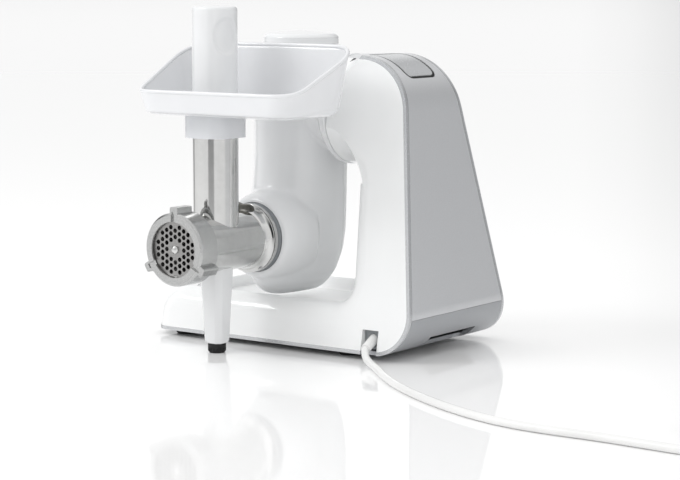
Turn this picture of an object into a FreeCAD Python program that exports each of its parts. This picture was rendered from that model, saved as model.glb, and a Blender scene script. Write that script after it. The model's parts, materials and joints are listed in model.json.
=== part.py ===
import FreeCAD, Part
import math
import os

# A kitchen drive unit with a meat mincer. Millimetres, +Z up; the table is at tableZ.
# It is drawn about the machine's mid-plane y = 0 with the foot along X, then every piece is
# moved so that the origin is the centre of the footprint, on the table.

os.makedirs("parts", exist_ok=True)
V = FreeCAD.Vector

# --- driving dimensions: drive unit -------------------------------------------------------
tableZ = 2.5             # the table, on the height scale of this drawing
baseDepth = 180.0        # near face to far face, at height 0
tipX = -152.5            # rounded end of the foot
heelX = 158.0            # where the leaning back line meets the underside
crownX = 116.5           # where the same line meets the top
bodyTop = 282.0
underside = 8.0          # lowest face of the housing, which stands on rubber feet
footTop = 51.0
leanPerMm = 0.185        # how far each face leans in, per mm of height
bandThick = 3.5          # outer band: strips, silver shell and base plate
stripWidth = 4.0
housingWall = 3.0
seamGap = 0.3            # gap between neighbouring covers
beadRadius = 20.0        # rounding of the inner edges of the C
columnInnerTop = 71.0
columnInnerFoot = 79.0
seatWidth = 116.0        # flat trough in the foot where a bowl would stand
seatFloor = 40.0
tailTop = 42.3           # seam between silver shell and lower tail
tailX = 98.0             # seam between lower tail and base plate

# --- driving dimensions: arm --------------------------------------------------------------
ringX = 34.0             # plane of the swivel joint
swivelZ = 229.0
swivelRadius = 52.5
swivelClearance = 0.05
hubRadius = 40.0
hubBore = 33.0
neckGap = 6.2            # between the arm's neck and the joint plane, filled by the collar
armX = -33.0             # axis of the barrel
armRadius = 46.5
armWall = 2.8
splitY = 8.0             # seam between arm shell and its rear cover
capRadius = 37.0
capHeight = 10.0
capLift = 0.3
armTop = 290.0

# --- driving dimensions: gear train -------------------------------------------------------
gearModule = 2.0
motorZ = 224.5
pinionTeeth = 9
firstTeeth = 33
firstSmallTeeth = 10
secondTeeth = 30
secondSmallTeeth = 9
outputTeeth = 27
statorRadius = 29.0
statorBore = 18.4
rotorRadius = 18.0
shaftRadius = 4.0
bearingClearance = 0.04

# --- driving dimensions: mincer -----------------------------------------------------------
driveFrontY = -79.0      # front of the grey drive ring
driveRingRadius = 33.5
spigotRadius = 26.0
barrelRadius = 27.0
barrelBore = 21.5
headRadius = 29.6
plateRadius = 27.3
plateThick = 5.0
nutRadius = 34.0
nutLip = 25.9
nutLength = 25.0
nutFrontY = -195.5
nutLugTurn = 60.0
nutSlotWidth = 4.6
nutSlotDepth = 2.2
threadPitch = 4.0
fitGap = 0.3
feedY = -133.0
feedRadius = 21.5
feedWall = 1.3
feedTop = 226.0
pusherTop = 329.0
pusherRadius = 21.3
pusherBottom = 138.0
holePitch = 5.9
holeRadius = 2.15
wormRadius = 20.9
wormTurns = 4
pinRadius = 4.0
trayFloor = 228.0
trayFront = 251.0
trayBack = 292.0
trayWall = 2.2
legTopWidth = 29.0
legFootWidth = 25.0
legSole = 11.5

# --- driving dimensions: cord -------------------------------------------------------------
cordRadius = 3.5
cordZ = tableZ + cordRadius
coilRadius = 38.5
coilHeight = 14.0
coilCentre = V(565, -218, tableZ)

bodies = {}              # node name to shape, in the order in which they are made


# --- small helpers ------------------------------------------------------------------------
def unit(vector):
    return vector * (1.0 / vector.Length)


def roundedEdges(points, radii, closed=True):
    """Straight runs joined by tangent arcs."""
    count = len(points)
    entries, exits, middles = [], [], []
    for i, point in enumerate(points):
        bend = radii[i] > 0 and (closed or 0 < i < count - 1)
        if not bend:
            entries.append(point)
            exits.append(point)
            middles.append(None)
            continue
        before = unit(points[i - 1] - point)
        after = unit(points[(i + 1) % count] - point)
        half = before.getAngle(after) / 2
        reach = radii[i] / math.tan(half)
        entries.append(point + before * reach)
        exits.append(point + after * reach)
        middles.append(point + unit(before + after) * (radii[i] / math.sin(half) - radii[i]))
    edges = []
    for i in range(count):
        if closed or i > 0:
            start = exits[i - 1]
            if (entries[i] - start).Length > 1e-6:
                edges.append(Part.LineSegment(start, entries[i]).toShape())
        if middles[i] is not None:
            edges.append(Part.Arc(entries[i], middles[i], exits[i]).toShape())
    return edges


def prism(points, radii, vector):
    wire = Part.Wire(roundedEdges(points, radii))
    return Part.Face(wire).extrude(vector)


def box(x0, x1, y0, y1, z0, z1):
    return Part.makeBox(x1 - x0, y1 - y0, z1 - z0, V(x0, y0, z0))


def roundedBox(x0, x1, y0, y1, z0, z1, radius):
    points = [V(x0, y0, z0), V(x1, y0, z0), V(x1, y1, z0), V(x0, y1, z0)]
    return prism(points, [radius] * 4, V(0, 0, z1 - z0))


def cylinder(radius, start, end):
    return Part.makeCylinder(radius, (end - start).Length, start, end - start)


def tube(outer, inner, start, end):
    return cylinder(outer, start, end).cut(cylinder(inner, start, end))


def aimed(shape, base, direction):
    """Moves a shape drawn about +Z so that it stands on base along direction."""
    placed = shape.copy()
    placed.Placement = FreeCAD.Placement(base, FreeCAD.Rotation(V(0, 0, 1), direction))
    return placed


def turned(profile, base, direction, radii=None):
    """Turns a (radius, height) outline about a line through base."""
    points = [V(r, 0, h) for r, h in profile]
    wire = Part.Wire(roundedEdges(points, radii or [0] * len(points)))
    solid = Part.Face(wire).revolve(V(0, 0, 0), V(0, 0, 1), 360)
    return aimed(solid, base, direction)


def fused(shapes):
    result = shapes[0]
    for shape in shapes[1:]:
        result = result.fuse(shape)
    return result.removeSplitter()


def cutAll(shape, tools):
    for tool in tools:
        shape = shape.cut(tool)
    return shape


def group(shapes):
    return Part.makeCompound(shapes)


def keep(name, shape):
    bodies[name] = shape


def meet(a0, a1, b0, b1):
    """Where two lines in the XZ plane cross."""
    da = (a1[0] - a0[0], a1[1] - a0[1])
    db = (b1[0] - b0[0], b1[1] - b0[1])
    cross = da[0] * db[1] - da[1] * db[0]
    t = ((b0[0] - a0[0]) * db[1] - (b0[1] - a0[1]) * db[0]) / cross
    return (a0[0] + t * da[0], a0[1] + t * da[1])


def insetLoop(loop, insets):
    """Moves each side of a counter-clockwise loop inwards by its own distance."""
    sides = []
    for i, (x, z) in enumerate(loop):
        nx, nz = loop[(i + 1) % len(loop)]
        length = math.hypot(nx - x, nz - z)
        ox = -(nz - z) / length * insets[i]
        oz = (nx - x) / length * insets[i]
        sides.append(((x + ox, z + oz), (nx + ox, nz + oz)))
    return [meet(*sides[i - 1], *sides[i]) for i in range(len(loop))]


def halfDepth(z, inset=0.0):
    return baseDepth / 2 - inset - leanPerMm * z


def wedge(inset=0.0):
    """The room between the two leaning faces, along the whole length."""
    low, high = -5, bodyTop + 20
    points = [
        V(-250, -halfDepth(low, inset), low),
        V(-250, halfDepth(low, inset), low),
        V(-250, halfDepth(high, inset), high),
        V(-250, -halfDepth(high, inset), high),
    ]
    return prism(points, [0] * 4, V(500, 0, 0))


# --- drive unit ---------------------------------------------------------------------------
# side outline of the C, counter-clockwise: underside, back, top, joint face, underside of
# the upper arm, column, foot, tip
outline = [
    (tipX, underside), (heelX, underside), (crownX, bodyTop), (ringX, bodyTop),
    (ringX, swivelZ - swivelRadius), (columnInnerTop, swivelZ - swivelRadius),
    (columnInnerFoot, footTop), (tipX, footTop),
]
outlineRadii = [0, 36, 58, 0, 0, 18, 18, 30]
convex = [1, 1, 1, 1, 1, -1, -1, 1]


def outlinePrism(insets):
    loop = insetLoop(outline, insets)
    grown = [max(insets[i - 1], insets[i]) for i in range(len(loop))]
    radii = []
    for i, radius in enumerate(outlineRadii):
        radii.append(radius - convex[i] * grown[i] if radius else 0)
    points = [V(x, -150, z) for x, z in loop]
    return prism(points, radii, V(0, 300, 0))


def outerBand(start, end):
    """Layer that follows the underside, the back and the top, from depth start to end."""
    points, radii = [], []
    for depth in (start, end):
        corners = insetLoop(outline, [depth] * 3 + [0] * 5)[:4]
        bends = [0, outlineRadii[1] - depth, outlineRadii[2] - depth, 0]
        if depth == end:
            corners.reverse()
            bends.reverse()
        points += [V(x, -150, z) for x, z in corners]
        radii += bends
    return prism(points, radii, V(0, 300, 0))


def innerBeads(solid, radius, inset=0.0):
    """Rounds the edges where the inside of the C meets its two faces."""
    chosen = []
    for edge in solid.Edges:
        middle = edge.valueAt((edge.FirstParameter + edge.LastParameter) / 2)
        ends = [v.Point for v in edge.Vertexes]
        across = abs(ends[0].y - ends[-1].y) > 60
        onFace = abs(abs(middle.y) - halfDepth(middle.z, inset)) < 1
        inside = middle.x < columnInnerFoot + inset + 1 and middle.z > underside + bandThick + inset + 1
        inside = inside and middle.z < swivelZ - swivelRadius + inset + 1
        if onFace and inside and not across:
            chosen.append(edge)
    return solid.makeFillet(radius, chosen)


def stubRound(inset):
    """Turns the upper end of the C into the round of the swivel joint."""
    reach = 50.0
    r0 = swivelRadius - inset
    centre = V(ringX, 0, swivelZ)
    edges = [
        Part.LineSegment(V(0, 0, -10), V(r0, 0, -10)).toShape(),
        Part.LineSegment(V(r0, 0, -10), V(r0, 0, 0)).toShape(),
        Part.Arc(
            V(r0, 0, 0),
            V(r0 + reach - reach * math.cos(math.radians(45)), 0, reach * math.sin(math.radians(45))),
            V(r0 + reach, 0, reach),
        ).toShape(),
        Part.LineSegment(V(r0 + reach, 0, reach), V(0, 0, reach)).toShape(),
        Part.LineSegment(V(0, 0, reach), V(0, 0, -10)).toShape(),
    ]
    horn = Part.Face(Part.Wire(edges)).revolve(V(0, 0, 0), V(0, 0, 1), 360)
    horn = aimed(horn, centre, V(1, 0, 0))
    rest = box(ringX + reach, 300, -200, 200, -20, 400)
    foot = box(-300, ringX + reach, -200, 200, -20, swivelZ - swivelRadius - 14)
    return horn.fuse(rest).fuse(foot)


def bowlTrough(grow):
    half = seatWidth / 2 + grow
    floor = seatFloor - grow
    section = [V(-300, -half, floor), V(-300, half, floor), V(-300, half + 22, 70), V(-300, -half - 22, 70)]
    along = prism(section, [10, 10, 0, 0], V(600, 0, 0))
    plan = roundedBox(-124 - grow, 68 + grow, -78 - grow, 78 + grow, 0, 100, 40)
    return along.common(plan)


footHalf = halfDepth(underside + bandThick / 2)
footPlan = roundedBox(tipX, 400, -footHalf, footHalf, 0, 400, beadRadius)
notchX0 = 101.5
notchX1 = 119.5
notchTop = 31.0
notchDepth = 17.0
notchFace = -halfDepth(notchTop)
cordNotch = box(notchX0, notchX1, notchFace - 10, notchFace + notchDepth, 0, notchTop)


def makeHousing():
    solid = outlinePrism([bandThick] * 3 + [0] * 5).common(wedge())
    solid = innerBeads(solid, beadRadius)
    solid = solid.common(stubRound(0)).cut(bowlTrough(0))
    wall = housingWall
    hollow = outlinePrism([bandThick + wall] * 3 + [wall] * 5).common(wedge(wall))
    hollow = innerBeads(hollow, beadRadius - wall, wall)
    hollow = hollow.common(stubRound(wall)).cut(bowlTrough(wall))
    mouth = outerBand(bandThick - 1, bandThick + wall + 1).common(wedge(wall + 8))
    mouth = mouth.common(box(tipX + 14, 300, -200, 200, -20, 400))
    mouth = mouth.cut(box(-300, ringX + 12, -200, 200, 100, 400))
    bore = cylinder(hubRadius + 3, V(ringX - 1, 0, swivelZ), V(ringX + 8, 0, swivelZ))
    pocket = box(notchX0 - 2, notchX1 + 2, -95, notchFace + notchDepth + 2, 0, notchTop + 2)
    knobBore = aimed(Part.makeCylinder(6.4, 40, V(0, 0, -20)), knobBase, knobAxis)
    hollow = hollow.cut(pocket)
    shell = cutAll(solid, [hollow, mouth, bore, cordNotch, knobBore])
    keep("c_housing", shell.removeSplitter())


# the speed knob stands square to the far, leaning face
knobZ = 128.0
knobX = 108.0
faceTilt = math.atan(leanPerMm)
knobAxis = V(0, math.cos(faceTilt), math.sin(faceTilt))
knobBase = V(knobX, halfDepth(knobZ), knobZ)

# the release button sits on the shoulder of the silver shell
buttonAngle = 23.0       # from straight up, towards the back
buttonLength = 48.0
buttonWidth = 44.0
buttonTravel = 3.0
buttonThick = 9.5        # from the top of the shoulder down to the button's lower face


def shoulderFrame():
    """Centre of the shoulder arc, its radius, and the outward direction at the button."""
    loop = insetLoop(outline, [0] * 8)
    corner = V(loop[2][0], 0, loop[2][1])
    before = unit(V(loop[1][0], 0, loop[1][1]) - corner)
    after = unit(V(loop[3][0], 0, loop[3][1]) - corner)
    half = before.getAngle(after) / 2
    centre = corner + unit(before + after) * (outlineRadii[2] / math.sin(half))
    angle = math.radians(buttonAngle)
    return centre, outlineRadii[2], V(math.sin(angle), 0, math.cos(angle))


def alongShoulder(x0, x1, y0, y1, low, high, radius):
    """Rounded block on the shoulder: x along the arc, y across, low to high outwards."""
    centre, arc, outward = shoulderFrame()
    block = roundedBox(x0, x1, y0, y1, low, high, radius)
    return aimed(block, centre + outward * arc, outward)


def makeCovers():
    strips = outerBand(0, bandThick).common(wedge()).cut(wedge(stripWidth))
    strips = strips.cut(cordNotch).common(stubRound(0)).common(footPlan)
    keep("edge_strips", strips)
    middle = outerBand(0, bandThick).common(wedge(stripWidth + seamGap))
    upper = middle.common(box(-300, 300, -200, 200, tailTop + seamGap, 400))
    upper = upper.common(box(ringX + 1, 300, -200, 200, 60, 400).fuse(box(90, 300, -200, 200, 0, 61)))
    half = buttonLength / 2 + 3
    wide = buttonWidth / 2 + 3
    pocket = alongShoulder(-half, half, -wide, wide, -30, 20, 9)
    keep("silver_shell", upper.cut(pocket).common(stubRound(0)))
    lower = middle.common(box(-300, 300, -200, 200, 0, tailTop))
    lower = lower.common(box(tailX, 300, -200, 200, 0, 100))
    grip = roundedBox(122, 180, -34, 44, -2, 21, 8)
    keep("base_tail", lower.cut(grip))
    plate = middle.common(box(-300, tailX - seamGap, -200, 200, 0, 60))
    vents = []
    for i in range(9):
        x = -60 + 9 * i
        vents.append(roundedBox(x, x + 4, -30, 30, 0, 20, 1.9))
    holes = [cylinder(1.8, V(x, y, 0), V(x, y, 20)) for x, y in screwPlaces]
    keep("base_plate", cutAll(plate, vents + holes).common(footPlan))


screwPlaces = [(-130, -30), (-130, 30), (20, -66), (20, 66), (92, 30)]
footPlaces = [(-126, -66), (-126, 66), (74, -66), (74, 66)]


def makeUnderside():
    feet = []
    for x, y in footPlaces:
        height = underside - tableZ
        profile = [(0, 0), (9.5, 0), (11, 1.8), (11, height), (0, height)]
        feet.append(turned(profile, V(x, y, tableZ), V(0, 0, 1)))
    keep("rubber_feet", group(feet))
    screws = []
    for x, y in screwPlaces:
        head = turned([(0, 0), (3.2, 0), (3.2, 1.2), (1.5, 2.6), (1.5, 12), (0, 12)],
                      V(x, y, underside - 2.6), V(0, 0, 1))
        screws.append(head)
    keep("base_screws", group(screws))


def makeBrain():
    board = roundedBox(88, 126, -30, 30, 60, 61.6, 1)
    parts = [board, box(92, 104, -24, -10, 61.6, 84), box(106, 122, -6, 12, 61.6, 74)]
    parts.append(cylinder(7, V(98, 18, 61.6), V(98, 18, 86)))
    keep("control_board", fused(parts))
    depth = knobBase.y - 24
    switch = box(knobX - 15, knobX + 15, depth - 16, depth, knobZ - 16, knobZ + 12)
    bore = aimed(Part.makeCylinder(3.1, 60, V(0, 0, -50)), knobBase, knobAxis)
    keep("speed_switch", switch.cut(bore))
    spindle = aimed(Part.makeCylinder(3.0, 44, V(0, 0, -36)), knobBase, knobAxis)
    keep("knob_spindle", spindle)
    body = Part.makeCylinder(17, 12.5, V(0, 0, 0.8))
    body = body.makeFillet(1.5, [e for e in body.Edges if abs(e.CenterOfMass.z - 13.3) < 0.1])
    ridge = roundedBox(-2.5, 2.5, -16, 16, 13, 18, 2.4)
    knob = body.fuse(ridge).cut(Part.makeCylinder(3.0, 8.2, V(0, 0, -0.1)))
    keep("speed_knob", aimed(knob.removeSplitter(), knobBase, knobAxis))
    gland = box(notchX0 + 0.2, notchX1 - 0.2, notchFace + 4, notchFace + notchDepth,
                underside + bandThick + 1.2, notchTop - 0.2)
    sleeve = cylinder(reliefRoot + 0.1, reliefBase - reliefWay * 20, reliefBase + reliefWay * 20)
    keep("cord_gland", gland.cut(sleeve))


# the strain relief leaves the notch downwards, towards the table
reliefBase = V(109.5, -70.0, 24.8)
reliefTip = V(113.5, -97.0, 15.5)
reliefRoot = 5.4
reliefEnd = 4.3
reliefWay = unit(reliefTip - reliefBase)
cordRoute = [
    reliefTip, V(119, -106, 10.2), V(133, -115, cordZ), V(150, -130, cordZ),
    V(174, -154, cordZ), V(206, -181.5, cordZ), V(243, -206.5, cordZ),
    V(284, -229.5, cordZ), V(324, -247, cordZ), V(362, -258, cordZ),
    V(402, -260.8, cordZ), V(448, -258.6, cordZ), V(492, -261.4, cordZ),
    V(530, -262.6, cordZ), V(560, -260, cordZ),
]


def cordPath(route):
    radii = [0]
    for i in range(1, len(route) - 1):
        before = unit(route[i - 1] - route[i])
        after = unit(route[i + 1] - route[i])
        turn = math.pi - before.getAngle(after)
        shorter = min((route[i - 1] - route[i]).Length, (route[i + 1] - route[i]).Length)
        radii.append(0.45 * shorter / math.tan(turn / 2))
    radii.append(0)
    print("cord radii", [round(r, 1) for r in radii[1:-1]])
    return Part.Wire(roundedEdges(route, radii, closed=False))


def makeCord():
    length = (reliefTip - reliefBase).Length
    boot = turned([(0, 0), (reliefRoot, 0), (reliefEnd, length), (0, length)], reliefBase, reliefWay)
    keep("strain_relief", boot)
    path = cordPath(cordRoute)
    start = Part.Wire(Part.makeCircle(cordRadius, cordRoute[0], cordRoute[1] - cordRoute[0]))
    cord = path.makePipeShell([start], True, False)
    expected = math.pi * cordRadius ** 2 * path.Length
    print("cord volume / section x length", round(cord.Volume / expected, 4), "length", round(path.Length, 1))
    keep("cord_tube", cord)
    inner = coilRadius - 2 * cordRadius
    outer = coilRadius + 2 * cordRadius
    keep("cord_coil", tube(outer, inner, coilCentre, coilCentre + V(0, 0, coilHeight)))
    tailY = coilCentre.y + coilRadius + 7
    axis = V(548, tailY, tableZ + 13.0)
    tail = turned([(0, -8), (4.4, -8), (6.5, 16), (0, 16)], axis, V(-1, 0, 0))
    shell = [V(axis.x - 14, tailY - 11, 2), V(axis.x - 38, tailY - 18, 0), V(axis.x - 44, tailY - 18, 0)]
    shell += [V(axis.x - 44, tailY + 18, 0), V(axis.x - 38, tailY + 18, 0), V(axis.x - 14, tailY + 11, 2)]
    grip = prism([V(p.x, p.y, tableZ) for p in shell], [4, 6, 1, 1, 6, 4], V(0, 0, 26))
    keep("plug_body", grip.fuse(tail).removeSplitter())
    pins = []
    for side in (-1, 1):
        root = V(axis.x - 44, tailY + side * 9.5, axis.z)
        pins.append(turned([(0, 0), (2.4, 0), (2.4, 18), (1.6, 19), (0, 19)], root, V(-1, 0, 0)))
    keep("plug_pins", group(pins))


def makeRelease():
    half = buttonLength / 2
    wide = buttonWidth / 2
    floor = buttonThick + buttonTravel + 0.5
    centre, arc, outward = shoulderFrame()
    rim = alongShoulder(-half - 2.7, half + 2.7, -wide - 2.7, wide + 2.7, -floor - 2, 5, 8.7)
    hole = alongShoulder(-half - 0.4, half + 0.4, -wide - 0.4, wide + 0.4, -floor, 5, 6.4)
    low = Part.makeCylinder(arc - 0.8, 200, centre - V(0, 100, 0), V(0, 1, 0))
    keep("button_bezel", rim.cut(hole).common(low))
    cap = alongShoulder(-half, half, -wide, wide, -buttonThick, 6, 6)
    skin = Part.makeCylinder(arc - 0.2, 200, centre - V(0, 100, 0), V(0, 1, 0))
    keep("release_button", cap.common(skin))
    seat = centre + outward * (arc - floor + 0.1)
    spring = tube(4.5, 3.5, seat, seat + outward * (buttonTravel + 0.2))
    keep("button_spring", spring)
    print("spring low", [round(seat.x, 3), round(seat.y, 3), round(seat.z, 3)])


# --- swivel joint and arm -----------------------------------------------------------------
def swivelPoint(x):
    return V(x, 0, swivelZ)


def makeSwivel():
    bush = tube(hubRadius + 3, hubRadius + swivelClearance, swivelPoint(ringX), swivelPoint(ringX + 14))
    keep("swivel_bearing", bush)
    hub = tube(hubRadius, hubBore, swivelPoint(ringX - neckGap), swivelPoint(ringX + 20))
    groove = tube(hubRadius + 1, hubRadius - 1.5, swivelPoint(ringX + 15), swivelPoint(ringX + 16.8))
    keep("swivel_hub", hub.cut(groove))
    clip = tube(hubRadius + 2.5, hubRadius - 1.4, swivelPoint(ringX + 15.1), swivelPoint(ringX + 16.7))
    keep("retaining_ring", clip)
    collar = turned(
        [(hubRadius + 0.5, 0), (swivelRadius + 0.8, 0), (swivelRadius + 0.8, 5.6), (hubRadius + 0.5, 5.6)],
        swivelPoint(ringX - neckGap), V(1, 0, 0), [0, 1.2, 1.2, 0])
    keep("arm_collar", collar)


# height, half width along X, near reach, far reach
armSections = [
    (44.0, 20.0, 27.0, 20.0), (50.0, 32.0, 45.0, 32.0), (60.0, 39.5, 56.5, 39.5),
    (76.0, 44.5, 64.0, 44.5), (102.0, 46.5, 67.0, 46.5), (140.0, 46.5, 62.0, 46.5),
    (180.0, 46.5, 55.0, 46.5), (220.0, 46.5, 49.5, 46.5), (265.0, 46.5, 47.0, 46.5),
    (281.0, 45.0, 45.5, 45.0), (290.0, 39.5, 39.5, 39.5),
]


def armBarrel(inset):
    wires = []
    for z, wide, near, far in armSections:
        if z == armSections[0][0]:
            z += inset
        if z == armSections[-1][0]:
            z -= inset
        points = []
        for i in range(24):
            angle = 2 * math.pi * i / 24
            reach = (far if math.sin(angle) > 0 else near) - inset
            points.append(V(armX + (wide - inset) * math.cos(angle), reach * math.sin(angle), z))
        curve = Part.BSplineCurve()
        curve.interpolate(points, PeriodicFlag=True)
        wires.append(Part.Wire(curve.toShape()))
    return Part.makeLoft(wires, True, False)


def armNeck(inset):
    """Horn that widens from the barrel to the swivel joint."""
    r0 = swivelRadius - inset
    end = ringX - neckGap - inset
    profile = [(0, -20), (38 - inset, -20), (39 - inset, end - 20 - 3), (r0, end - 3), (r0, end), (0, end)]
    return turned(profile, swivelPoint(0), V(1, 0, 0), [0, 0, 16, 0, 0, 0])


def makeArm():
    outer = armBarrel(0).fuse(armNeck(0)).removeSplitter()
    inner = armBarrel(armWall).fuse(armNeck(armWall))
    seat = cylinder(driveRingRadius + 0.2, V(armX, driveFrontY - 5, mincerZ), V(armX, -40, mincerZ))
    hubHole = cylinder(hubBore, swivelPoint(10), swivelPoint(ringX))
    topHole = cylinder(14, V(armX, 0, 270), V(armX, 0, 300))
    shell = cutAll(outer, [inner, seat, hubHole, topHole])
    near = box(-200, 200, -200, splitY - seamGap / 2, 0, 400)
    far = box(-200, 200, splitY + seamGap / 2, 200, 0, 400)
    keep("arm_shell", shell.common(near))
    keep("arm_rear_cover", shell.common(far))
    dome = [(0, 0), (capRadius, 0), (capRadius, capHeight - 3.5), (capRadius - 2, capHeight),
            (0, capHeight + 3)]
    cap = turned(dome, V(armX, 0, armTop + capLift), V(0, 0, 1), [0, 0, 2, 8, 0])
    cap = cap.cut(cylinder(capRadius - 3, V(armX, 0, armTop - 1), V(armX, 0, armTop + capHeight - 3)))
    plugRing = tube(13.6, 11.5, V(armX, 0, armTop - 8), V(armX, 0, armTop + capHeight - 1))
    keep("top_cap", cap.fuse(plugRing).removeSplitter())
    ring = turned(
        [(27.5, 0), (31.5, 0), (driveRingRadius, 2), (driveRingRadius, 33), (29.5, 33), (29.5, 9),
         (27.5, 9)],
        V(armX, driveFrontY, mincerZ), V(0, 1, 0), [0, 0, 1.5, 0, 0, 0, 0])
    keep("drive_ring", ring)


mincerZ = motorZ - gearModule / 2 * (
    pinionTeeth + firstTeeth + firstSmallTeeth + secondTeeth + secondSmallTeeth + outputTeeth)
firstZ = motorZ - gearModule / 2 * (pinionTeeth + firstTeeth)
secondZ = firstZ - gearModule / 2 * (firstSmallTeeth + secondTeeth)


def gear(teeth, y0, y1, z, gapUp, bore):
    """Straight-toothed gear about a line along Y; gapUp puts a gap, not a tooth, at the top."""
    pitchRadius = gearModule * teeth / 2
    tip = pitchRadius + 0.80 * gearModule
    root = pitchRadius - 1.15 * gearModule
    step = 2 * math.pi / teeth
    first = math.pi / 2 + (step / 2 if gapUp else 0)
    points = []
    for i in range(teeth):
        angle = first + i * step
        for radius, share in ((root, -0.30), (tip, -0.11), (tip, 0.11), (root, 0.30)):
            a = angle + share * step
            points.append(V(armX + radius * math.cos(a), y0, z + radius * math.sin(a)))
    blank = prism(points, [0] * len(points), V(0, y1 - y0, 0))
    if bore:
        blank = blank.cut(cylinder(bore, V(armX, y0 - 1, z), V(armX, y1 + 1, z)))
    return blank


def axle(z, y0, y1, radius=shaftRadius):
    return cylinder(radius, V(armX, y0, z), V(armX, y1, z))


def makeDrive():
    frontY, rearY = -33.0, 3.0
    run = shaftRadius + bearingClearance
    # two steel plates carry every shaft
    frames = (("gear_plate_front", frontY - 2.5, 78.0, 24), ("gear_plate_rear", rearY, 96.0, 34))
    for name, y, low, wide in frames:
        plate = prism(
            [V(armX - wide, y, low), V(armX + wide, y, low), V(armX + wide, y, 246), V(armX - wide, y, 246)],
            [20, 20, 14, 14], V(0, 2.5, 0))
        holes = [axle(z, y - 1, y + 4, shaftRadius + 3) for z in (firstZ, secondZ, motorZ)]
        if y < 0:
            holes.append(axle(mincerZ, y - 1, y + 4, 12.5))
            holes.pop(2)
        keep(name, cutAll(plate, holes))
    bushes = []
    seats = ((firstZ, frontY - 3), (secondZ, frontY - 3), (firstZ, rearY), (secondZ, rearY), (motorZ, rearY))
    for z, y in seats:
        bushes.append(tube(shaftRadius + 3, run, V(armX, y, z), V(armX, y + 3, z)))
    keep("plain_bushes", group(bushes))
    bearing = tube(12.5, 9 + bearingClearance, onAxis(frontY - 9), onAxis(frontY + 0.5))
    keep("output_bearing", bearing)
    stator = tube(statorRadius, statorBore, V(armX, 7, motorZ), V(armX, 31, motorZ))
    posts = [cylinder(2, V(armX + x, 5.5, motorZ + z), V(armX + x, 8, motorZ + z))
             for x, z in ((24, 0), (-24, 0), (0, 24))]
    keep("motor_stator", fused([stator] + posts))
    rotor = cylinder(rotorRadius, V(armX, 8, motorZ), V(armX, 30, motorZ))
    commutator = axle(motorZ, 30, 36, 8)
    keep("motor_rotor", fused([rotor, commutator, axle(motorZ, -10, 41)]))
    pinion = gear(pinionTeeth, -8, 0, motorZ, True, shaftRadius)
    keep("motor_pinion", pinion)
    keep("first_gear", gear(firstTeeth, -7, -1, firstZ, True, shaftRadius))
    keep("first_pinion", gear(firstSmallTeeth, -18, -8, firstZ, True, shaftRadius))
    keep("first_shaft", axle(firstZ, frontY - 3, rearY + 3))
    # with an even number of teeth the side away from the pinion is in the same phase
    keep("second_gear", gear(secondTeeth, -17, -9, secondZ, False, shaftRadius))
    keep("second_pinion", gear(secondSmallTeeth, -29, -19, secondZ, False, shaftRadius))
    keep("second_shaft", axle(secondZ, frontY - 3, rearY + 3))
    keep("output_gear", gear(outputTeeth, -28, -20, mincerZ, False, 9.0))
    spindle = axle(mincerZ, frontY - 17, -18, 9)
    head = axle(mincerZ, frontY - 33, frontY - 16, 15)
    keep("output_spindle", spindle.fuse(head).cut(bowTie(frontY - 34, frontY - 20, 34)).removeSplitter())


def bowTie(y0, y1, play):
    """Slot for a flat tang, open enough for the tang to turn play degrees either way."""
    radius = 12.0
    half = 3.3
    swing = math.radians(play)
    centre = cylinder(4.4, V(armX, y0, mincerZ), V(armX, y1, mincerZ))
    slot = centre
    for i in range(-4, 5):
        angle = math.degrees(swing * i / 4)
        leaf = box(armX - radius, armX + radius, y0, y1, mincerZ - half, mincerZ + half)
        leaf.rotate(V(armX, 0, mincerZ), V(0, 1, 0), angle)
        slot = slot.fuse(leaf)
    return slot.removeSplitter().common(cylinder(radius, V(armX, y0, mincerZ), V(armX, y1, mincerZ)))


# --- mincer -------------------------------------------------------------------------------
def onAxis(y):
    return V(armX, y, mincerZ)


headFront = nutFrontY + 3.0 + fitGap     # front rim of the housing, behind the nut's lip
headRear = nutFrontY + nutLength + 4
plateRear = headFront + plateThick


def makeMincerHousing():
    rear = driveFrontY - 4.0
    barrel = cylinder(barrelRadius, onAxis(headRear - 2), onAxis(rear))
    head = turned([(0, 0), (headRadius, 0), (headRadius, headRear - headFront - 4),
                   (barrelRadius, headRear - headFront), (0, headRear - headFront)],
                  onAxis(headFront), V(0, 1, 0))
    cone = turned([(0, 0), (barrelRadius, 0), (barrelRadius + 3, 7), (barrelRadius + 3, 9), (0, 9)],
                  onAxis(rear - 9), V(0, 1, 0), [0, 6, 0, 0, 0])
    feed = cylinder(feedRadius, V(armX, feedY, mincerZ), V(armX, feedY, feedTop))
    solid = fused([barrel, head, cone, feed])
    bore = cylinder(barrelBore, onAxis(headFront - 1), onAxis(rear - 3))
    seat = cylinder(plateRadius + 0.1, onAxis(headFront - 1), onAxis(headFront + plateThick + 6))
    feedBore = cylinder(feedRadius - feedWall, V(armX, feedY, mincerZ), V(armX, feedY, feedTop + 1))
    shaft = cylinder(7.5, onAxis(rear - 5), onAxis(rear + 1))
    shell = cutAll(solid, [bore, seat, feedBore, shaft])
    key = box(armX - 1.6, armX + 1.6, headFront, headFront + plateThick,
              mincerZ - plateRadius - 1, mincerZ - 24.6)
    keep("mincer_housing", shell.fuse(key).removeSplitter())
    flange = turned(
        [(12.5, 0), (30, 0), (30, 3), (spigotRadius + 1.2, 3.4), (spigotRadius + 1.2, 12), (22, 12),
         (22, 4), (12.5, 4)],
        onAxis(rear), V(0, 1, 0))
    lug = prism([V(armX - 9, rear, mincerZ + 28), V(armX + 9, rear, mincerZ + 28),
                 V(armX + 7, rear, mincerZ + 43), V(armX - 7, rear, mincerZ + 43)],
                [0, 0, 5, 5], V(0, 2.6, 0))
    keep("bayonet_flange", flange.fuse(lug).removeSplitter())
    keep("rear_bush", tube(12.2, 8.2, onAxis(rear), onAxis(rear + 9)))


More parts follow.
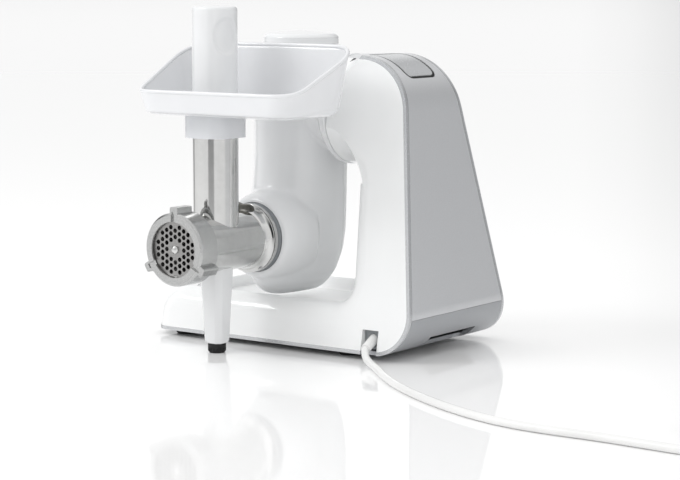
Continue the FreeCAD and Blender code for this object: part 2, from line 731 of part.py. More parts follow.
def makeWorm():
    rear = driveFrontY - 4.0
    start = rear - 4.5
    front = plateRear + 4.0
    length = start - front
    core = turned([(0, 0), (13, 0), (9, length), (0, length)], onAxis(start), V(0, -1, 0))
    pitch = length / wormTurns
    ribs = []
    steps = 12
    for i in range(int(wormTurns * steps)):
        y = start - pitch * (i + 0.5) / steps
        angle = 360.0 * i / steps
        if y - front < 3:
            continue
        wide = pitch / steps + 3.2
        reach = 1.2 * wormRadius
        half = math.radians(180.0 / steps)
        low = V(reach * math.cos(half), 0, -reach * math.sin(half))
        high = V(reach * math.cos(half), 0, reach * math.sin(half))
        sector = prism([V(0, 0, 0), low, high], [0, 0, 0], V(0, wide, 0))
        blade = sector.common(cylinder(wormRadius, V(0, -1, 0), V(0, wide + 1, 0)))
        blade.translate(V(0, -wide / 2, 0))
        blade.rotate(V(0, 0, 0), V(0, 1, 0), -angle)
        blade.translate(onAxis(y))
        ribs.append(blade)
    journal = cylinder(7.4, onAxis(rear + 0.5), onAxis(start - 1))
    tip = cylinder(5.0, onAxis(front - 1.0), onAxis(front + 1))
    square = box(armX - 4.0, armX + 4.0, plateRear + 0.2, front, mincerZ - 4.0, mincerZ + 4.0)
    pin = turned(
        [(0, 0), (pinRadius, 0), (pinRadius, plateThick + 1.7), (2.2, plateThick + 3.2),
         (0, plateThick + 3.6)],
        onAxis(plateRear + 0.3), V(0, -1, 0), [0, 0, 1.2, 1, 0])
    worm = core
    for rib in ribs:
        worm = worm.fuse(rib)
    worm = worm.common(cylinder(wormRadius, onAxis(front), onAxis(start)))
    worm = fused([worm, journal, square, pin, tip.common(cylinder(5, onAxis(front), onAxis(front + 1)))])
    keep("worm", worm)
    tangRoot = cylinder(7.4, onAxis(rear + 0.5), onAxis(rear + 12))
    tang = box(armX - 11, armX + 11, rear + 12, rear + 26, mincerZ - 2.6, mincerZ + 2.6)
    tang = tang.common(cylinder(11, onAxis(rear + 10), onAxis(rear + 30)))
    keep("drive_tang", tangRoot.fuse(tang).removeSplitter())
    blades = []
    for i in range(4):
        outline = [V(-3.2, 0, 4), V(3.2, 0, 4), V(4.6, 0, 24.5), V(-1.4, 0, 24.5)]
        blade = prism(outline, [0, 0, 0, 0], V(0, 3.2, 0))
        blade.rotate(V(0, 0, 0), V(0, 1, 0), 90 * i)
        blades.append(blade)
    hub = cylinder(8.5, V(0, 0, 0), V(0, 3.7, 0))
    knife = fused([hub] + blades).cut(box(-4.1, 4.1, -1, 6, -4.1, 4.1))
    knife.translate(onAxis(plateRear + 0.2))
    keep("knife", knife)


def plateHoles():
    """Rows of holes at equal pitch, six ways round, with none at the hub or the rim."""
    places = []
    for column in range(-4, 5):
        x = column * holePitch * math.cos(math.radians(30))
        for row in range(-8, 9):
            z = (row + (0.5 if column % 2 else 0)) * holePitch
            far = math.hypot(x, z)
            if pinRadius + 4 < far < plateRadius - 5.5:
                places.append((x, z))
    return places


def makeCutters():
    disc = cylinder(plateRadius, onAxis(headFront), onAxis(plateRear))
    tools = [cylinder(holeRadius, onAxis(headFront - 1) + V(x, 0, z), onAxis(plateRear + 1) + V(x, 0, z))
             for x, z in plateHoles()]
    tools.append(cylinder(pinRadius + 0.06, onAxis(headFront - 1), onAxis(plateRear + 1)))
    tools.append(box(armX - 1.9, armX + 1.9, headFront - 1, plateRear + 1,
                     mincerZ - plateRadius - 1, mincerZ - 24.2))
    keep("perforated_plate", disc.cut(group(tools)))
    rim = turned(
        [(nutLip, 0), (nutRadius - 2, 0), (nutRadius, 2), (nutRadius, nutLength - 1.5),
         (nutRadius - 1.5, nutLength), (headRadius + fitGap, nutLength), (headRadius + fitGap, 3),
         (nutLip + 1, 3), (nutLip, 2)],
        onAxis(nutFrontY), V(0, 1, 0))
    lugs, slots = [], []
    half = nutSlotWidth / 2
    for i in range(3):
        lug = roundedBox(-4.5, 4.5, nutRadius - 2.2, nutRadius + 5.5, 1.2, nutLength - 3, 2)
        slot = box(-half, half, nutLip - 2, nutRadius + 1, -1, nutSlotDepth)
        for piece in (lug, slot):
            piece.Placement = FreeCAD.Placement(V(0, 0, 0), FreeCAD.Rotation(V(0, 0, 1), V(0, 1, 0)))
            piece.rotate(V(0, 0, 0), V(0, 1, 0), nutLugTurn + 120 * i)
            piece.translate(onAxis(nutFrontY))
        lugs.append(lug)
        slots.append(slot)
    keep("ring_nut", cutAll(fused([rim] + lugs), slots))


def makeTray():
    floor = (-92.0, 84.0, -176.0, -86.0)
    rim = (-105.0, 95.0, -188.0, -80.0)

    def shell(inset, low, high):
        wires = []
        for z, (x0, x1, y0, y1), radius in ((trayFloor, floor, 20.0), (trayBack, rim, 26.0)):
            height = low if z == trayFloor else high
            points = [V(x0 + inset, y0 + inset, height), V(x1 - inset, y0 + inset, height),
                      V(x1 - inset, y1 - inset, height), V(x0 + inset, y1 - inset, height)]
            wires.append(Part.Wire(roundedEdges(points, [radius - inset] * 4)))
        return Part.makeLoft(wires, True, True)

    outer = shell(0, trayFloor, trayBack)
    inner = shell(trayWall, trayFloor + trayWall, trayBack + 0.5)
    side = [V(-150, -200, trayFront), V(-150, -172, trayFront), V(-150, -96, trayBack),
            V(-150, -60, trayBack), V(-150, -60, 400), V(-150, -200, 400)]
    slope = prism(side, [0, 34, 26, 0, 0, 0], V(300, 0, 0))
    throat = cylinder(pusherRadius + fitGap, V(armX, feedY, 150), V(armX, feedY, 300))
    keep("tray", cutAll(outer.cut(inner), [slope, throat]))
    socket = roundedBox(armX - 25, armX + 25, feedY - 25, feedY + 25, 206.6, trayFloor, 17)
    fit = cylinder(feedRadius + 0.25, V(armX, feedY, 200), V(armX, feedY, feedTop + 0.3))
    keep("tray_socket", socket.cut(fit).cut(throat))
    stemRadius = feedRadius - feedWall - 0.4
    lower = cylinder(stemRadius, V(armX, feedY, pusherBottom), V(armX, feedY, feedTop + 1.5))
    upper = cylinder(pusherRadius, V(armX, feedY, feedTop + 1.2), V(armX, feedY, pusherTop))
    upper = upper.makeFillet(4.0, [e for e in upper.Edges if abs(e.CenterOfMass.z - pusherTop) < 0.1])
    dish = Part.makeSphere(40, V(armX, feedY, pusherTop + 37))
    keep("pusher", fused([lower, upper]).cut(dish))


def makeLeg():
    sections = []
    for z, width in ((mincerZ - 12, legTopWidth), (legSole, legFootWidth)):
        half = width / 2
        points = [V(armX - half, feedY - half * 0.9, z), V(armX + half, feedY - half * 0.9, z),
                  V(armX + half, feedY + half * 0.9, z), V(armX - half, feedY + half * 0.9, z)]
        sections.append(Part.Wire(roundedEdges(points, [half * 0.45] * 4)))
    leg = Part.makeLoft(sections, True, True)
    leg = leg.cut(cylinder(barrelRadius + 0.1, onAxis(headFront), onAxis(driveFrontY)))
    leg = leg.cut(cylinder(4.1, V(armX, feedY, 0), V(armX, feedY, legSole + 8)))
    keep("support_leg", leg)
    tall = legSole - tableZ
    sole = [(0, 0), (7, 0), (7.8, 1), (7.8, tall - 4), (8.6, tall - 4), (8.6, tall),
            (4.0, tall), (4.0, tall + 7), (0, tall + 7)]
    keep("leg_foot", turned(sole, V(armX, feedY, tableZ), V(0, 0, 1)))


makeHousing()
makeCovers()
makeUnderside()
makeBrain()
makeRelease()
makeSwivel()
makeArm()
makeDrive()
makeMincerHousing()
makeWorm()
makeCutters()
makeTray()
makeLeg()
makeCord()

# the origin goes to the centre of the footprint of everything but the cord and its plug
looseNodes = ("strain_relief", "cord_tube", "cord_coil", "plug_body", "plug_pins")
machine = group([shape for name, shape in bodies.items() if name not in looseNodes])
extent = machine.optimalBoundingBox(False)
shift = V(-(extent.XMin + extent.XMax) / 2, -(extent.YMin + extent.YMax) / 2, -tableZ)
print("shift", round(shift.x, 3), round(shift.y, 3), "low", round(extent.ZMin, 3), "top", round(extent.ZMax, 2))
for name, shape in bodies.items():
    shape.translate(shift)
    shape.exportStep("parts/%s.step" % name)
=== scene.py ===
import json
import math

import bpy
import bmesh
from mathutils import Matrix, Vector


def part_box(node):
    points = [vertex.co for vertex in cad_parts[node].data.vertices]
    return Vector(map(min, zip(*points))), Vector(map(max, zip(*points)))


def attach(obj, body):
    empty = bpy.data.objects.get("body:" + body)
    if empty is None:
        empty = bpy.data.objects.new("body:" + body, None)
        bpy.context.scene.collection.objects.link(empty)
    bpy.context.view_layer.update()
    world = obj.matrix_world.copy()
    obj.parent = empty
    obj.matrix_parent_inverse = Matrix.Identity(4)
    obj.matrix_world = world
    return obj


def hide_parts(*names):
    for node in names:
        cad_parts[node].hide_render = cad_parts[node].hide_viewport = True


# A kitchen drive unit with a meat mincer. Sizes are millimetres in the maker's drawing, which
# is centred on the machine's mid-plane; place() turns them into metres in the frame.
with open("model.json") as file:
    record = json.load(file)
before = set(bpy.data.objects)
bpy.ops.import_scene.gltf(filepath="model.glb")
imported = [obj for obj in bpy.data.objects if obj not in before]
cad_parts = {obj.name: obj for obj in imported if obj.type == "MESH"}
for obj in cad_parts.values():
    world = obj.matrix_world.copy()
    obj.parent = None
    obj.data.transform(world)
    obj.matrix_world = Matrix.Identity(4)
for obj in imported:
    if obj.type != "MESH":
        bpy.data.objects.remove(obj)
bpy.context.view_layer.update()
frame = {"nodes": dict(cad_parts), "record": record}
nodes = frame["nodes"]

legLow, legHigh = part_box("support_leg")
legMiddle = (legLow + legHigh) / 2
feedAxis = Vector((-33.0, -133.0))     # upright axis of the leg, the feed tube and the pusher
mincerZ = 106.5          # height of the mincer's lying axis, which runs along Y
drawingTable = 2.5       # height of the table in the drawing
drawingShift = Vector((legMiddle.x * 1000 - feedAxis.x, legMiddle.y * 1000 - feedAxis.y, -drawingTable))


def place(x, y, z):
    return (Vector((x, y, z)) + drawingShift) / 1000


# camera
view = {"place": (1214.1, -1651.3, 357.0), "downwards": 7.192, "turn": 36.0, "lens": 111.2,
        "sensor": 36, "reach": 100}
camera = bpy.data.objects.new("viewCamera", bpy.data.cameras.new("viewCamera"))
camera.location = place(*view["place"])
camera.rotation_euler = (math.radians(90 - view["downwards"]), 0, math.radians(view["turn"]))
camera.data.lens = view["lens"]
camera.data.sensor_width = view["sensor"]
camera.data.clip_end = view["reach"]
bpy.context.scene.collection.objects.link(camera)
bpy.context.scene.camera = camera
print("camera done")


# mains cord: out of the notch, along the table, into a round coil that ends in the plug
cordSizes = {"diameter": 7.0, "length": 1.13, "exit": (113.5, -97.0, 15.5)}
cordRoute = [
    cordSizes["exit"], (119, -106, 10.2), (133, -115, 6), (150, -130, 6), (174, -154, 6),
    (206, -181.5, 6), (243, -206.5, 6), (284, -229.5, 6), (324, -247, 6), (362, -258, 6),
    (402, -260.8, 6), (448, -258.6, 6), (492, -261.4, 6), (530, -262.6, 6),
]
coil = {"middle": (565.0, -218.0), "step": 20, "end": (545, -172.5, 15.5),
        # angle, radius, height
        "turns": [(-90, 42.1, 6.0), (150, 42.1, 6.0), (240, 35.0, 6.0), (420, 35.0, 6.0),
                  (510, 38.5, 13.05), (690, 38.5, 13.05), (810, 45.5, 15.0)]}


def coilPoints(coil):
    # radius and height change evenly between the angles named in turns
    points = []
    keys = coil["turns"]
    for angle in range(keys[0][0], keys[-1][0] + 1, coil["step"]):
        after = next(k for k in range(1, len(keys)) if angle <= keys[k][0])
        (a0, r0, z0), (a1, r1, z1) = keys[after - 1], keys[after]
        share = (angle - a0) / (a1 - a0)
        radius = r0 + share * (r1 - r0)
        turn = math.radians(angle)
        points.append((coil["middle"][0] + radius * math.cos(turn),
                       coil["middle"][1] + radius * math.sin(turn), z0 + share * (z1 - z0)))
    return points


cordLine = bpy.data.curves.new("mainsCord", "CURVE")
cordLine.dimensions = "3D"
spline = cordLine.splines.new("NURBS")
cordPoints = cordRoute + coilPoints(coil) + [coil["end"]]
spline.points.add(len(cordPoints) - 1)
for point, where in zip(spline.points, cordPoints):
    point.co = (*place(*where), 1.0)
    point.radius = cordSizes["diameter"] / 2000
spline.order_u = 3
spline.use_endpoint_u = True
spline.resolution_u = 6
cordLine.bevel_depth = 1.0     # times each point's own radius
cordLine.bevel_resolution = 4
cordLine.use_fill_caps = True
mainsCord = bpy.data.objects.new("mainsCord", cordLine)
bpy.context.scene.collection.objects.link(mainsCord)
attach(mainsCord, "drive_unit")
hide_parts("cord_tube", "cord_coil")
print("cord done,", len(cordPoints), "points")


# materials
def linear(hexColour):
    channels = []
    for i in (0, 2, 4):
        c = int(hexColour[i:i + 2], 16) / 255
        channels.append(c / 12.92 if c <= 0.04045 else ((c + 0.055) / 1.055) ** 2.4)
    return (*channels, 1.0)


def addNode(tree, kind, values=None, **settings):
    node = tree.nodes.new(kind)
    for name, value in settings.items():
        setattr(node, name, value)
    for key, value in (values or {}).items():
        socket = node.inputs[key]
        if isinstance(value, bpy.types.NodeSocket):
            tree.links.new(value, socket)
        else:
            socket.default_value = value
    return node


def startMaterial(name, **shaderValues):
    material = bpy.data.materials.new(name)
    material.use_nodes = True
    tree = material.node_tree
    tree.nodes.clear()
    shader = addNode(tree, "ShaderNodeBsdfPrincipled")
    for key, value in shaderValues.items():
        shader.inputs[key.replace("_", " ")].default_value = value
    addNode(tree, "ShaderNodeOutputMaterial", {"Surface": shader.outputs["BSDF"]})
    where = addNode(tree, "ShaderNodeTexCoord").outputs["Object"]
    return material, tree, shader, where


def ramp(tree, factor, stops):
    node = addNode(tree, "ShaderNodeValToRGB", {"Fac": factor})
    elements = node.color_ramp.elements
    while len(elements) < len(stops):
        elements.new(0.5)
    for element, (position, colour) in zip(elements, stops):
        element.position = position
        element.color = linear(colour)
    return node.outputs["Color"]


def grain(tree, where, size, detail=2.0, roughness=0.5):
    # noise whose blobs are about size millimetres across
    return addNode(tree, "ShaderNodeTexNoise",
                   {"Vector": where, "Scale": 1000 / size, "Detail": detail, "Roughness": roughness})


plasticGrain = {"mottle": 60, "smear": 18, "skin": 1.6, "skinDepth": 0.0002}
metalGrain = {"dark": 0.3, "light": 0.7, "depth": 0.0003}


def finishPlastic(name, tint, shade, gloss, peel=0.06, **shaderValues):
    # moulded plastic: a slow drift in the colour, gloss that changes a little from place to
    # place, and the faint orange peel of a polished mould
    material, tree, shader, where = startMaterial(name, **shaderValues)
    drift = grain(tree, where, plasticGrain["mottle"])
    colour = ramp(tree, drift.outputs["Fac"], [(0.35, shade), (0.65, tint)])
    tree.links.new(colour, shader.inputs["Base Color"])
    smear = grain(tree, where, plasticGrain["smear"], 4)
    low, high = gloss
    rough = addNode(tree, "ShaderNodeMapRange",
                    {"Value": smear.outputs["Fac"], "To Min": low, "To Max": high})
    tree.links.new(rough.outputs["Result"], shader.inputs["Roughness"])
    skin = grain(tree, where, plasticGrain["skin"], 1)
    bump = addNode(tree, "ShaderNodeBump",
                   {"Height": skin.outputs["Fac"], "Strength": peel,
                    "Distance": plasticGrain["skinDepth"]})
    tree.links.new(bump.outputs["Normal"], shader.inputs["Normal"])
    return material


def finishMetal(name, tint, shade, gloss, strokes=(1, 1, 1), size=3.0, scratch=0.1, metallic=1.0):
    # metal or metal paint: its own noise, stretched along the direction it was ground or
    # drawn in; strokes shrinks the noise's scale on that axis
    material, tree, shader, where = startMaterial(name, Metallic=metallic)
    stretched = addNode(tree, "ShaderNodeMapping", {"Vector": where, "Scale": strokes})
    lines = grain(tree, stretched.outputs["Vector"], size, 5, 0.6)
    dark, light = metalGrain["dark"], metalGrain["light"]
    colour = ramp(tree, lines.outputs["Fac"], [(dark, shade), (light, tint)])
    tree.links.new(colour, shader.inputs["Base Color"])
    low, high = gloss
    rough = addNode(tree, "ShaderNodeMapRange",
                    {"Value": lines.outputs["Fac"], "From Min": dark, "From Max": light,
                     "To Min": low, "To Max": high})
    tree.links.new(rough.outputs["Result"], shader.inputs["Roughness"])
    bump = addNode(tree, "ShaderNodeBump",
                   {"Height": lines.outputs["Fac"], "Strength": scratch,
                    "Distance": metalGrain["depth"]})
    tree.links.new(bump.outputs["Normal"], shader.inputs["Normal"])
    return material


# polished ABS mouldings: sharp reflections on three whites
glossWhiteAbs = finishPlastic("glossWhiteAbs", "E8E9EA", "E4E5E6", (0.06, 0.10), IOR=1.53)
housingWhiteAbs = finishPlastic("housingWhiteAbs", "F3F4F4", "F0F1F1", (0.05, 0.09), IOR=1.53)
trayWhiteAbs = finishPlastic("trayWhiteAbs", "E6E7E9", "E2E3E5", (0.08, 0.13), IOR=1.53)
# metal flake under lacquer: soft wide highlights
silverLacquer = finishMetal("silverLacquer", "DCDDDF", "D6D7D9", (0.30, 0.36), size=1.2, scratch=0.04,
                            metallic=0.55)
brightSilverLacquer = finishMetal("brightSilverLacquer", "CFD0D2", "C6C8CA", (0.22, 0.28), size=1.2,
                                  scratch=0.03, metallic=0.6)
tailLacquer = finishMetal("tailLacquer", "AEB0B3", "A8AAAD", (0.30, 0.38), size=1.2, scratch=0.04,
                          metallic=0.5)
# textured and rubber parts: dull
greyBasePlastic = finishPlastic("greyBasePlastic", "9A9C9E", "909294", (0.45, 0.6), peel=0.3)
blackFootRubber = finishPlastic("blackFootRubber", "1B1B1C", "131314", (0.55, 0.75), peel=0.35)
greyPolypropylene = finishPlastic("greyPolypropylene", "E0E1E4", "D8DADD", (0.2, 0.28), peel=0.1)
driveGreyNylon = finishPlastic("driveGreyNylon", "84888B", "787C7F", (0.25, 0.38), peel=0.12)
# bare metals: drawn, cast and polished, tumbled, ground, turned
drawnSteel = finishMetal("drawnSteel", "D6D5D3", "C9C8C6", (0.10, 0.16), strokes=(1, 1, 0.03), size=1.5,
                         scratch=0.03)
polishedAlloy = finishMetal("polishedAlloy", "D4D4D3", "CCCCCB", (0.05, 0.10), size=8, scratch=0.01)
tumbledAlloy = finishMetal("tumbledAlloy", "C2C2C1", "ABACAC", (0.18, 0.28), size=1.2, scratch=0.06)
groundPlateSteel = finishMetal("groundPlateSteel", "A8A7A6", "8F8E8D", (0.28, 0.42),
                               strokes=(0.12, 1, 1), size=0.8, scratch=0.2)
turnedSteel = finishMetal("turnedSteel", "A5A5A6", "8D8D8F", (0.25, 0.35), strokes=(1, 0.1, 1),
                          size=1.0)
darkCastLug = finishMetal("darkCastLug", "6F6E69", "53524E", (0.3, 0.45), size=3, scratch=0.3)
# inside and on the cord
sinteredBronze = finishMetal("sinteredBronze", "A98650", "8B6B3C", (0.35, 0.5), size=0.8, scratch=0.3)
acetal = finishPlastic("acetal", "E6E3DA", "DEDACF", (0.3, 0.4))
laminatedIron = finishMetal("laminatedIron", "5A5856", "444240", (0.4, 0.5), strokes=(0.05, 4, 0.05),
                            size=1.0, scratch=0.3)
greenBoard = finishPlastic("greenBoard", "1E5A34", "184A2B", (0.3, 0.4))
cordPvc = finishPlastic("cordPvc", "EFEFEE", "E9E9E8", (0.22, 0.3), peel=0.12)
knobPlastic = finishPlastic("knobPlastic", "A9ACAF", "9EA1A4", (0.28, 0.36))
nickelPins = finishMetal("nickelPins", "C8C4BA", "B6B2A8", (0.15, 0.25), strokes=(0.1, 1, 1),
                         size=1.0)

slotFinishes = {
    "white_gloss": glossWhiteAbs, "silver_paint": silverLacquer, "silver_strip": brightSilverLacquer,
    "silver_tail": tailLacquer, "base_plastic": greyBasePlastic, "black_rubber": blackFootRubber,
    "grey_plastic": greyPolypropylene, "drive_grey": driveGreyNylon, "polished_steel": nickelPins,
    "cast_alloy": polishedAlloy, "plate_steel": groundPlateSteel, "steel": turnedSteel,
    "sintered_bronze": sinteredBronze, "gear_plastic": acetal, "board_green": greenBoard,
    "stator_iron": laminatedIron, "cord_white": cordPvc, "knob_grey": knobPlastic,
    "spring_steel": turnedSteel,
}
# pieces whose finish differs from their slot's
nodeFinishes = {"c_housing": housingWhiteAbs, "ring_nut": tumbledAlloy, "tray": trayWhiteAbs,
                "button_bezel": blackFootRubber}
slotOf = {part["node"]: part["material_slot"] for part in frame["record"]["subparts"]}
for name, node in nodes.items():
    finish = nodeFinishes.get(name, slotFinishes[slotOf[name]])
    node.data.materials.clear()
    node.data.materials.append(finish)
mainsCord.data.materials.append(cordPvc)
print("finishes on", len(nodes), "nodes")


# mesh helpers
def meshPiece(name, body, finish, build, replaced=()):
    # build fills a bmesh in the drawing's millimetres
    shape = bmesh.new()
    build(shape)
    bmesh.ops.remove_doubles(shape, verts=shape.verts, dist=0.001)
    bmesh.ops.recalc_face_normals(shape, faces=shape.faces)
    for vertex in shape.verts:
        vertex.co = place(*vertex.co)
    mesh = bpy.data.meshes.new(name)
    shape.to_mesh(mesh)
    shape.free()
    piece = bpy.data.objects.new(name, mesh)
    bpy.context.scene.collection.objects.link(piece)
    mesh.materials.append(finish)
    mesh.shade_smooth()
    if body:
        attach(piece, body)
        if replaced:
            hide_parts(*replaced)
    return piece


def bakeModifiers(piece):
    # the evaluated shape becomes the piece's own plain mesh
    graph = bpy.context.evaluated_depsgraph_get()
    finished = bpy.data.meshes.new_from_object(piece.evaluated_get(graph))
    piece.modifiers.clear()
    piece.data = finished


def bridgeRings(shape, rings):
    # walls from each ring of points to the next
    made = [[shape.verts.new(point) for point in ring] for ring in rings]
    for low, high in zip(made, made[1:]):
        for i in range(len(low)):
            j = (i + 1) % len(low)
            shape.faces.new((low[i], low[j], high[j], high[i]))
    return made


def solidRings(shape, rings):
    # the same with both ends closed
    made = bridgeRings(shape, rings)
    shape.faces.new(made[0])
    shape.faces.new(made[-1])


def turnedRings(profile, spots, point):
    return [[point(radius, along, 2 * math.pi * i / spots) for i in range(spots)]
            for radius, along in profile]


def aboutMincer(radius, along, turn):
    # on a circle about the mincer's lying axis
    return feedAxis.x + radius * math.cos(turn), along, mincerZ + radius * math.sin(turn)


# arm: one moulded barrel with a bulge round the drive ring and a horn to the swivel joint
armForm = {
    "x": -33.0, "swivelZ": 229.0, "seam": 8.0, "gap": 0.5, "spots": 72,
    "voxel": 1.7, "soften": 14, "softenBy": 0.6, "sharpFrom": 50,
    # radius of the seat for the drive ring, and the depths it is cut between
    "ringSeat": 33.9, "seatDepths": (-95, -40),
    # height, half width along X, near reach, far reach
    "sections": [(47, 9, 42, 8), (49, 17, 52, 13), (53, 24, 60, 18), (60, 31, 66, 23),
                 (70, 37.5, 69.5, 29), (88, 44, 71, 35), (108, 46.2, 68, 39.5), (130, 46.4, 60, 41.5),
                 (152, 46.2, 51.5, 43.2), (180, 46.2, 47, 45), (220, 46.4, 46.4, 46.4),
                 (262, 46.4, 46.4, 46.4), (276, 46, 46, 46), (283, 44.5, 44.5, 44.5),
                 (288, 41.5, 41.5, 41.5), (289.8, 38, 38, 38)],
    # distance from the mincer's axis, depth
    "boss": [(46.5, -30), (45.5, -50), (42.5, -64), (39.6, -72), (37.2, -75.2), (34.2, -75.6)],
    # distance from the swivel's axis, x
    "horn": [(37, -20), (37.2, -2), (38.6, 8), (42.5, 17.5), (48, 23.2), (52, 26.2), (52.3, 27.7)],
}


def buildBarrel(shape):
    rings = []
    for z, wide, near, far in armForm["sections"]:
        ring = []
        for i in range(armForm["spots"]):
            turn = 2 * math.pi * i / armForm["spots"]
            reach = far if math.sin(turn) > 0 else near
            ring.append((armForm["x"] + wide * math.cos(turn), reach * math.sin(turn), z))
        rings.append(ring)
    solidRings(shape, rings)


def buildBoss(shape):
    solidRings(shape, turnedRings(armForm["boss"], armForm["spots"], aboutMincer))


def buildHorn(shape):
    def aboutSwivel(radius, along, turn):
        return along, radius * math.cos(turn), armForm["swivelZ"] + radius * math.sin(turn)
    solidRings(shape, turnedRings(armForm["horn"], armForm["spots"], aboutSwivel))


def buildArmForm(shape):
    for build in (buildBarrel, buildBoss, buildHorn):
        build(shape)


armMould = meshPiece("armMould", None, glossWhiteAbs, buildArmForm)
remesh = armMould.modifiers.new("remesh", "REMESH")
remesh.mode = "VOXEL"
remesh.voxel_size = armForm["voxel"] / 1000
soften = armMould.modifiers.new("soften", "SMOOTH")
soften.factor = armForm["softenBy"]
soften.iterations = armForm["soften"]
bakeModifiers(armMould)
print("arm mould", len(armMould.data.polygons), "faces")


def seatTool(shape):
    profile = [(armForm["ringSeat"], depth) for depth in armForm["seatDepths"]]
    solidRings(shape, turnedRings(profile, armForm["spots"] * 2, aboutMincer))


seat = meshPiece("ringSeat", None, glossWhiteAbs, seatTool)
hollow = armMould.modifiers.new("hollow", "BOOLEAN")
hollow.object = seat
hollow.operation = "DIFFERENCE"
hollow.solver = "EXACT"
bakeModifiers(armMould)
bpy.data.objects.remove(seat)


def armHalf(name, replaced, side):
    # side -1 is the shell towards the mincer, 1 the cover behind the seam
    shape = bmesh.new()
    shape.from_mesh(armMould.data)
    seam = place(0, armForm["seam"] + side * armForm["gap"] / 2, 0)
    everything = list(shape.verts) + list(shape.edges) + list(shape.faces)
    bmesh.ops.bisect_plane(shape, geom=everything, plane_co=seam, plane_no=(0, side, 0),
                           clear_inner=True)
    openEdges = [edge for edge in shape.edges if edge.is_boundary]
    bmesh.ops.holes_fill(shape, edges=openEdges, sides=0)
    bmesh.ops.recalc_face_normals(shape, faces=shape.faces)
    mesh = bpy.data.meshes.new(name)
    shape.to_mesh(mesh)
    shape.free()
    piece = bpy.data.objects.new(name, mesh)
    bpy.context.scene.collection.objects.link(piece)
    mesh.materials.clear()
    mesh.materials.append(glossWhiteAbs)
    mesh.shade_smooth()
    mesh.set_sharp_from_angle(angle=math.radians(armForm["sharpFrom"]))
    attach(piece, "arm")
    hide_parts(replaced)


armHalf("armNearSkin", "arm_shell", -1)
armHalf("armFarSkin", "arm_rear_cover", 1)
bpy.data.objects.remove(armMould)
print("arm done")


# tray: flared walls, a rim that is flat in front and climbs straight at the sides, a rolled bead
trayForm = {
    "low": 228.0, "high": 292.0, "wall": 2.2, "throat": 21.7, "bead": 1.9,
    # least and greatest x, then y
    "floor": (-92.0, 84.0, -176.0, -86.0), "rim": (-109.0, 98.0, -188.0, -80.0),
    "cornerFloor": 22.0, "cornerRim": 28.0,
    # the rim's height in front, and how it climbs behind that
    "front": 249.0, "climbFrom": -167.0, "ease": 10.0, "climb": 0.49,
    # the floor's outer edge: inset, height above the floor
    "outerEdge": [(9, 0), (4.5, 0.7), (1.6, 2.6)], "innerEdge": [(4.5, 2.0), (8, 0.4), (12, 0)],
    "wallFrom": 0.12, "wallTo": 0.16,
    "arcSteps": 12, "sideSteps": 16, "rows": 12, "around": 12, "settle": 5, "smooth": 3}


def rimHeight(y):
    past = y - trayForm["climbFrom"]
    return trayForm["front"] + trayForm["climb"] * (past + math.hypot(past, trayForm["ease"])) / 2


def planLoop(share, inset):
    # rounded rectangle between floor and rim, always with the same number of points
    x0, x1, y0, y1 = [a + share * (b - a) for a, b in zip(trayForm["floor"], trayForm["rim"])]
    full = trayForm["cornerFloor"] + share * (trayForm["cornerRim"] - trayForm["cornerFloor"])
    points = []
    centres = [(x1 - full, y0 + full, -90), (x1 - full, y1 - full, 0),
               (x0 + full, y1 - full, 90), (x0 + full, y0 + full, 180)]
    radius = full - inset
    arcs = []
    for cx, cy, start in centres:
        arc = []
        for i in range(trayForm["arcSteps"] + 1):
            turn = math.radians(start + 90 * i / trayForm["arcSteps"])
            arc.append(Vector((cx + radius * math.cos(turn), cy + radius * math.sin(turn), 0)))
        arcs.append(arc)
    for index, arc in enumerate(arcs):
        points += arc
        onward = arcs[(index + 1) % 4][0]
        for i in range(1, trayForm["sideSteps"]):
            points.append(arc[-1].lerp(onward, i / trayForm["sideSteps"]))
    return points


def rimShares():
    # how far up the flare each point of the rim lies; the flare moves it, so it settles
    shares = [0.5] * len(planLoop(0, 0))
    span = trayForm["high"] - trayForm["low"]
    for settle in range(trayForm["settle"]):
        shares = [(rimHeight(planLoop(share, 0)[i].y) - trayForm["low"]) / span
                  for i, share in enumerate(shares)]
    return shares


trayShares = rimShares()


def wallRing(part, inset):
    # part 0 is the floor and 1 the rim
    ring = []
    for i, top in enumerate(trayShares):
        share = top * part
        point = planLoop(share, inset)[i]
        height = trayForm["low"] + share * (trayForm["high"] - trayForm["low"])
        ring.append(Vector((point.x, point.y, height)))
    return ring


def floorRing(inset, height):
    return [Vector((point.x, point.y, height)) for point in planLoop(0, inset)]


def throatRing(height):
    middle = feedAxis.to_3d()
    ring = []
    for point in planLoop(0, 0):
        out = (point - middle).normalized() * trayForm["throat"]
        ring.append(Vector((middle.x + out.x, middle.y + out.y, height)))
    return ring


def buildTray(shape):
    low, wall, rows = trayForm["low"], trayForm["wall"], trayForm["rows"]
    start, end = trayForm["wallFrom"], trayForm["wallTo"]
    rings = [throatRing(low)]
    rings += [floorRing(inset, low + rise) for inset, rise in trayForm["outerEdge"]]
    rings += [wallRing(start + (1 - start) * row / rows, 0) for row in range(rows + 1)]
    rings += [wallRing(1 - (1 - end) * row / rows, wall) for row in range(rows + 1)]
    rings += [floorRing(inset, low + wall + rise) for inset, rise in trayForm["innerEdge"]]
    rings.append(throatRing(low + wall))
    bridgeRings(shape, rings + [rings[0]])


